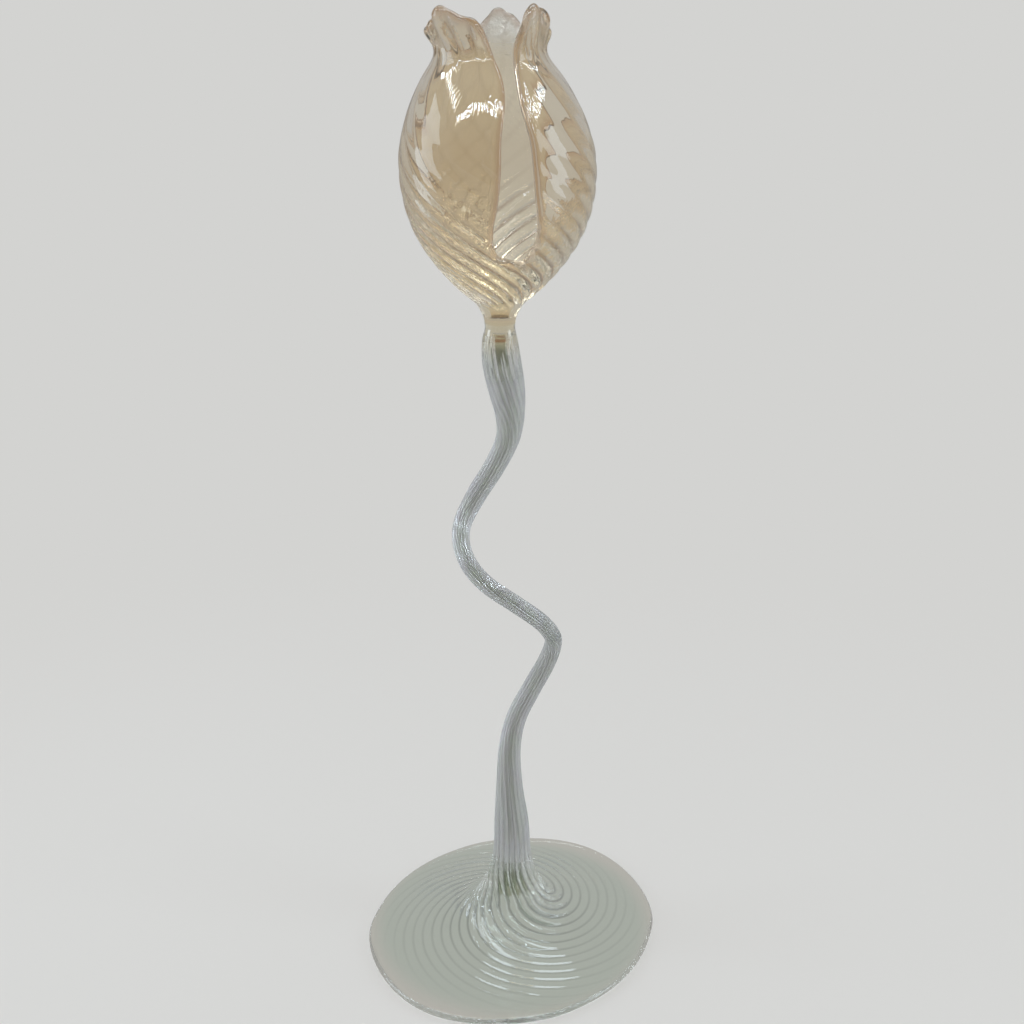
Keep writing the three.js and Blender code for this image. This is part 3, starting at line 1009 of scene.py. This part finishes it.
def foot_tint(place, groove):
    height = height_of(place)
    body = height.ramp(0.026, 0.048).mix(colour(224, 231, 222), colour(251, 250, 252))
    # Painted shade: the grooves are tinted dark grey-green, paler up near the stem.
    groove_shade = height.ramp(0.03, 0.05).mix(colour(120, 124, 122), colour(214, 212, 216))
    radius = place.out("ShaderNodeVectorMath", {"operation": "LENGTH"}, output=1, _0=place)
    warm = radius.ramp(0.055, 0.066).mix(body, colour(241, 238, 231))
    # Painted shade: a dark olive patch round the tip of the hollow under the flare.
    painted_shade_patch = (1 - radius_across(place).ramp(0.0064, 0.007)) * band(height, 0.0225, 0.034, 0.0005)
    return (groove * 0.8).mix((painted_shade_patch * 0.9).mix(warm, colour(132, 138, 104)), groove_shade)


def stem_tint(place, groove):
    drawn = place.out("ShaderNodeVectorMath", {"operation": "MULTIPLY"}, _0=place, _1=(260, 260, 26))
    pearl = place.out("ShaderNodeTexNoise", Vector=drawn, Scale=1.0, Detail=2.0).ramp(0.35, 0.65)
    shimmer = pearl.mix(colour(250, 255, 250), colour(250, 249, 255))
    # Painted shade: the grooves are tinted a little darker.
    outside = (groove * 0.4).mix(shimmer, colour(190, 188, 192))
    height = height_of(place)
    top = neck_base * mm
    outside = height.ramp(top - 0.012, top).mix(outside, colour(250, 240, 216))
    bore = height.ramp(top - 0.02, top - 0.01).mix(colour(158, 164, 128), colour(226, 224, 204))
    bore = band(height, top - 0.0125, top - 0.0055, 0.001).mix(bore, colour(136, 140, 104))
    bore = band(height, top - 0.003, top - 0.0019, 0.0002).mix(bore, colour(168, 100, 52))
    return marked(place, "bore").mix(outside, bore)


def neck_tint(place, groove):
    height = height_of(place)
    low, high = neck_base * mm, blossom_base * mm
    return height.ramp(low, high).mix(colour(250, 240, 216), colour(250, 236, 204))


def amber_tint(place, groove):
    height = height_of(place)
    # Painted light: the petals are tinted lighter low down, for glints, and high up, for reflections.
    petal = height.ramp(0.298, 0.345).mix(colour(254, 244, 222), colour(245, 232, 210))
    petal = height.ramp(0.345, 0.37).mix(petal, colour(250, 239, 219))
    # The front tips are tinted rosy. Painted light: the tip behind is tinted paler, for its lit inside.
    tip = behind(place).mix(colour(243, 229, 206), colour(253, 248, 236))
    rosy = height.ramp(0.378, 0.394).mix(petal, tip)
    lipped = (marked(place, "lips") * 0.7).mix(rosy, colour(214, 182, 158))
    low = blossom_base * mm
    lipped = height.ramp(low + 0.002, low + 0.007).mix(colour(242, 224, 192), lipped)
    radius = radius_across(place, stem_x * mm, stem_y * mm)
    # Painted shade: a dark ring on the floor inside the cup.
    ring = band(height, low + 0.0027, low + 0.0036, 0.0003) * band(radius, 0.0024, 0.0042, 0.0003)
    # Painted shade: the grooves are tinted brown, over the dark ring.
    return (groove * 0.85).mix((ring * 0.9).mix(lipped, colour(96, 78, 64)), colour(120, 76, 50))


def shear_dents(place):
    """Fine dents where the shears and the flame touched the tips, and on the ribs low down."""
    grain = place.out("ShaderNodeTexNoise", Vector=place, Scale=420.0, Detail=2.0)
    height, low = height_of(place), blossom_base * mm
    front_tips = height.ramp(0.386, 0.396)
    back_tip = behind(place) * height.ramp(0.376, 0.384)
    ribbed = height.ramp(low + 0.005, low + 0.012) * (1 - height.ramp(0.322, 0.352))
    return grain * (front_tips + back_tip * 3 + ribbed * 0.75)


def tip_frost(place):
    """The blunt tip behind was left frosty by the flame."""
    return behind(place) * height_of(place).ramp(0.379, 0.388) * 0.3 + 0.01


def foot_milk(place):
    return height_of(place).ramp(0.03, 0.044)


def stem_milk(place):
    top = neck_base * mm
    return 1 - height_of(place).ramp(top - 0.022, top - 0.006) * 0.7


foot_glaze = glass("foot_glaze", foot_tint, 0.02, milk=foot_milk)
stem_glaze = glass("pearly_glass", stem_tint, 0.03, milk=stem_milk)
neck_glaze = glass("creamy_glass", neck_tint, 0.03, clear=0.88, coat=1.0, sheen=pearl_sheen)
amber_glass = glass("amber_glass", amber_tint, frost=tip_frost, dents=shear_dents)
print("glasses:", ", ".join(m.name for m in (foot_glaze, stem_glaze, neck_glaze, amber_glass)))

# %% [markdown]
# Where two pieces were joined hot there is no surface left inside the glass. The flat faces where
# they meet get a material that lets everything through, so that no joint shows.

# %% Hot joins
join = bpy.data.materials.new("hot_join")
join.use_nodes = True
join.node_tree.nodes["Principled BSDF"].inputs["Alpha"].default_value = 0


def give_glass(piece, material, joins):
    """The piece's own glass everywhere but on its flat joins, each (height, hole radius, x, y)."""
    piece.data.materials.clear()
    piece.data.materials.append(material)
    piece.data.materials.append(join)
    count = 0
    for polygon in piece.data.polygons:
        polygon.material_index = 0
        x, y, z = polygon.center / mm
        for height, hole, middle_x, middle_y in joins:
            if abs(z - height) < 0.01 and abs(polygon.normal.z) > 0.99:
                if hypot(x - middle_x, y - middle_y) > hole:
                    polygon.material_index = 1
                    count += 1
    print(piece.name, "has", count, "faces on its joins")


top_bore = stem_top_radius * bore_share * 0.99
give_glass(foot, foot_glaze, [(foot_height, 0, 0, 0)])
give_glass(stem, stem_glaze, [(foot_height, 0, 0, 0), (neck_base, 0, stem_x, stem_y)])
give_glass(neck, neck_glaze, [(neck_base, top_bore, stem_x, stem_y), (blossom_base, 0, stem_x, stem_y)])
give_glass(blossom, amber_glass, [(blossom_base, 0, stem_x, stem_y)])
for piece, node, slot in (
    (foot, "foot", "clear_glass"),
    (stem, "stem", "clear_glass"),
    (neck, "neck_bit", "pale_glass"),
    (blossom, "blossom", "amber_glass"),
):
    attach(piece, "root")
    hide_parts(node)

# %% [markdown]
# The flower stands on a plain pale floor in soft studio light. Two tall soft lamps at the sides
# give the long reflections on the blossom, and are hidden from light that went through the glass,
# so that side views aren't blown out. Rows of small lamps and a panel overhead give the chopped
# highlights. They light no matt surface, and the floor keeps the flower's shadow. Far away, floor
# and room show the camera one plain pale colour.

# %% Stage and light
bpy.ops.object.select_all(action="DESELECT")
bpy.ops.mesh.primitive_plane_add(size=30)
floor_plane = bpy.context.object
floor_plane.name = "floor"
paper = bpy.data.materials.new("pale_paper")
paper.use_nodes = True
paper_shader = paper.node_tree.nodes["Principled BSDF"]
paper_shader.inputs["Base Color"].default_value = colour(222, 221, 217)
paper_shader.inputs["Roughness"].default_value = 0.9
pale_ground = colour(211, 211, 209)
paper_tree = paper.node_tree
paper_rays = paper_tree.nodes.new("ShaderNodeLightPath")
through_glass = Wire(paper_tree, paper_rays.outputs["Is Transmission Ray"])
from_camera = Wire(paper_tree, paper_rays.outputs["Is Camera Ray"])
floor_place = Wire(paper_tree, paper_tree.nodes.new("ShaderNodeTexCoord").outputs["Object"])
far = radius_across(floor_place).ramp(0.16, 0.5)
matt = Wire(paper_tree, paper_shader.outputs[0])


def plain_light(shade):
    return floor_place.out("ShaderNodeEmission", Color=shade, Strength=1.0)


def mix_shaders(share, first, second):
    return floor_place.out("ShaderNodeMixShader", _0=share, _1=first, _2=second)


near_floor = mix_shaders(from_camera * 0.5, matt, plain_light(colour(246, 245, 242)))
whole_floor = mix_shaders(from_camera * far, near_floor, plain_light(pale_ground))
seen = mix_shaders(through_glass, whole_floor, plain_light(colour(188, 188, 185)))
paper_tree.links.new(seen.socket, paper_tree.nodes["Material Output"].inputs[0])
floor_plane.location.z = -0.0003
floor_plane.data.materials.append(paper)

world = bpy.data.worlds.new("studio")
bpy.context.scene.world = world
world.use_nodes = True
sky = Wire(world.node_tree, world.node_tree.nodes.new("ShaderNodeTexCoord").outputs["Generated"])
forwards = sky.out("ShaderNodeSeparateXYZ", output=1, _0=sky)
dark_room, pale_room = (0.12, 0.08, 0.06, 1), (0.46, 0.47, 0.48, 1)
room = forwards.ramp(-0.75, -0.35).mix(dark_room, pale_room)
world_rays = world.node_tree.nodes.new("ShaderNodeLightPath")
through_glass = Wire(world.node_tree, world_rays.outputs["Is Transmission Ray"])
from_camera = Wire(world.node_tree, world_rays.outputs["Is Camera Ray"])
room = from_camera.mix(through_glass.mix(room, pale_room), pale_ground)
world.node_tree.links.new(room.socket, world.node_tree.nodes["Background"].inputs["Color"])
world.node_tree.nodes["Background"].inputs["Strength"].default_value = 1


wall_glow, front_glow, side_glow, panel_glow = 3.2, 30, 26, 7
cool_light = (0.78, 0.9, 1)


def soft_lamp(name, place, aim, width, height, face_glow, lights_floor=True):
    """An area lamp by the brightness of its face, which is what glass mirrors."""
    direction = Vector(aim) - Vector(place)
    bpy.ops.object.light_add(
        type="AREA", location=place, rotation=direction.to_track_quat("-Z", "Y").to_euler()
    )
    lamp = bpy.context.object
    lamp.name = name
    lamp.data.shape = "RECTANGLE"
    lamp.data.size, lamp.data.size_y = width, height
    lamp.data.energy = face_glow * pi * width * height
    lamp.data.color = cool_light
    lamp.visible_diffuse = lights_floor
    return lamp


blossom_heart = (-0.005, 0, 0.35)
for name, place, width in (
    ("left_wall", (-0.9, 0, 0.42), 0.42),
    ("right_wall", (0.88, -0.24, 0.42), 0.34),
):
    wall_lamp = soft_lamp(name, place, blossom_heart, width, 0.8, wall_glow)
    wall_lamp.visible_transmission = False
row_height = 0.92
for step in range(25):
    across = -0.78 + 0.065 * step
    soft_lamp("front_row", (across, -0.54, row_height), blossom_heart, 0.022, 0.07, front_glow, False)
for step in range(9):
    back = -0.34 + 0.066 * step
    for side in (-1, 1):
        soft_lamp("side_row", (side * 0.68, back, row_height), blossom_heart, 0.02, 0.1, side_glow, False)
soft_lamp("top_panel", (0, 0.08, 1.0), (0, 0.08, 0), 0.8, 0.3, panel_glow, False)
bpy.context.scene.view_settings.view_transform = "Standard"
bounces = bpy.context.scene.cycles
bounces.max_bounces = bounces.transmission_bounces = bounces.glossy_bounces = 24
